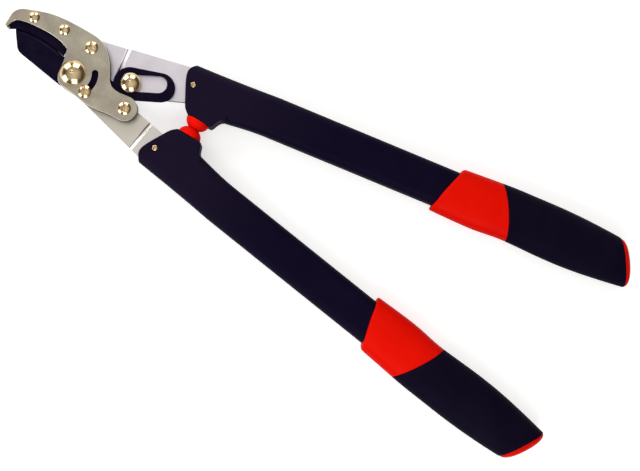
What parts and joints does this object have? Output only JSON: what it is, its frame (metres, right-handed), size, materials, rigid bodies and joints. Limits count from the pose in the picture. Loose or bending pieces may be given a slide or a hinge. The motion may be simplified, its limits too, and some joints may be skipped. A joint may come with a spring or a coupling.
{
  "type": "anvil lopper",
  "caption": "Long-handled anvil lopper with a compound linkage, shown closed: blade and anvil between side plates, stepped steel arms, moulded handles, bumpers and capped grips.",
  "frame": {"origin": "on the main pivot's axis, at the rear face of its lock nut, which meets the bench", "axes": "+Z out of the front of the tool along the main pivot, +X back along the line midway between the closed handles, +Y towards the upper handle"},
  "size_m": [0.6035, 0.2292, 0.0297],
  "materials": {
    "plate_steel": "satin plated steel, lightly brushed, with worn edges",
    "arm_steel": "pale zinc-plated flat bar, faintly mottled",
    "blade_coating": "smooth black non-stick coating, bare along the edge",
    "fastener_metal": "polished champagne-coloured plating",
    "inner_metal": "bright zinc plating",
    "shaft_plastic": "navy-black moulded plastic with a fine grain",
    "grip_plastic": "navy-black soft grip with a fine grain",
    "red_plastic": "bright red moulded plastic",
    "bumper_rubber": "bright red rubber, slightly satin"
  },
  "bodies": {
    "head_and_lower_handle": {"front_plate": "plate_steel", "back_plate": "plate_steel", "anvil": "blade_coating", "anvil_rivets": "fastener_metal", "pivot_bolt": "fastener_metal", "pivot_sleeve": "inner_metal", "pivot_washer": "inner_metal", "pivot_nut": "inner_metal", "lower_arm": "arm_steel", "lower_arm_screw": "fastener_metal", "lower_arm_sleeve": "inner_metal", "lower_arm_nut": "inner_metal", "arm_pivot_screw": "fastener_metal", "arm_pivot_sleeve": "inner_metal", "arm_pivot_washer": "inner_metal", "arm_pivot_nut": "inner_metal", "lower_shaft": "shaft_plastic", "lower_shaft_screw": "fastener_metal", "lower_bumper": "bumper_rubber", "lower_collar": "red_plastic", "lower_grip": "grip_plastic", "lower_end_cap": "red_plastic"},
    "upper_handle": {"upper_arm": "arm_steel", "link_bolt": "fastener_metal", "link_bush": "inner_metal", "link_nut": "inner_metal", "upper_shaft": "shaft_plastic", "upper_shaft_screw": "fastener_metal", "upper_bumper": "bumper_rubber", "upper_collar": "red_plastic", "upper_grip": "grip_plastic", "upper_end_cap": "red_plastic"},
    "blade": {"blade": "blade_coating", "stop_screw": "fastener_metal"}
  },
  "joints": [
    {"name": "open_handles", "type": "hinge", "parent": "head_and_lower_handle", "child": "upper_handle", "pos_m": [0.00192, 0.02814, 0], "axis": [0, 0, 1], "range_deg": [0, 86]},
    {"name": "open_blade", "type": "hinge", "parent": "head_and_lower_handle", "child": "blade", "pos_m": [0, 0, 0], "axis": [0, 0, 1], "range_deg": [0, 55.41]}
  ],
  "couplings": [
    {"joint": "open_blade", "follows": "open_handles", "ratio": 0.6442}
  ]
}
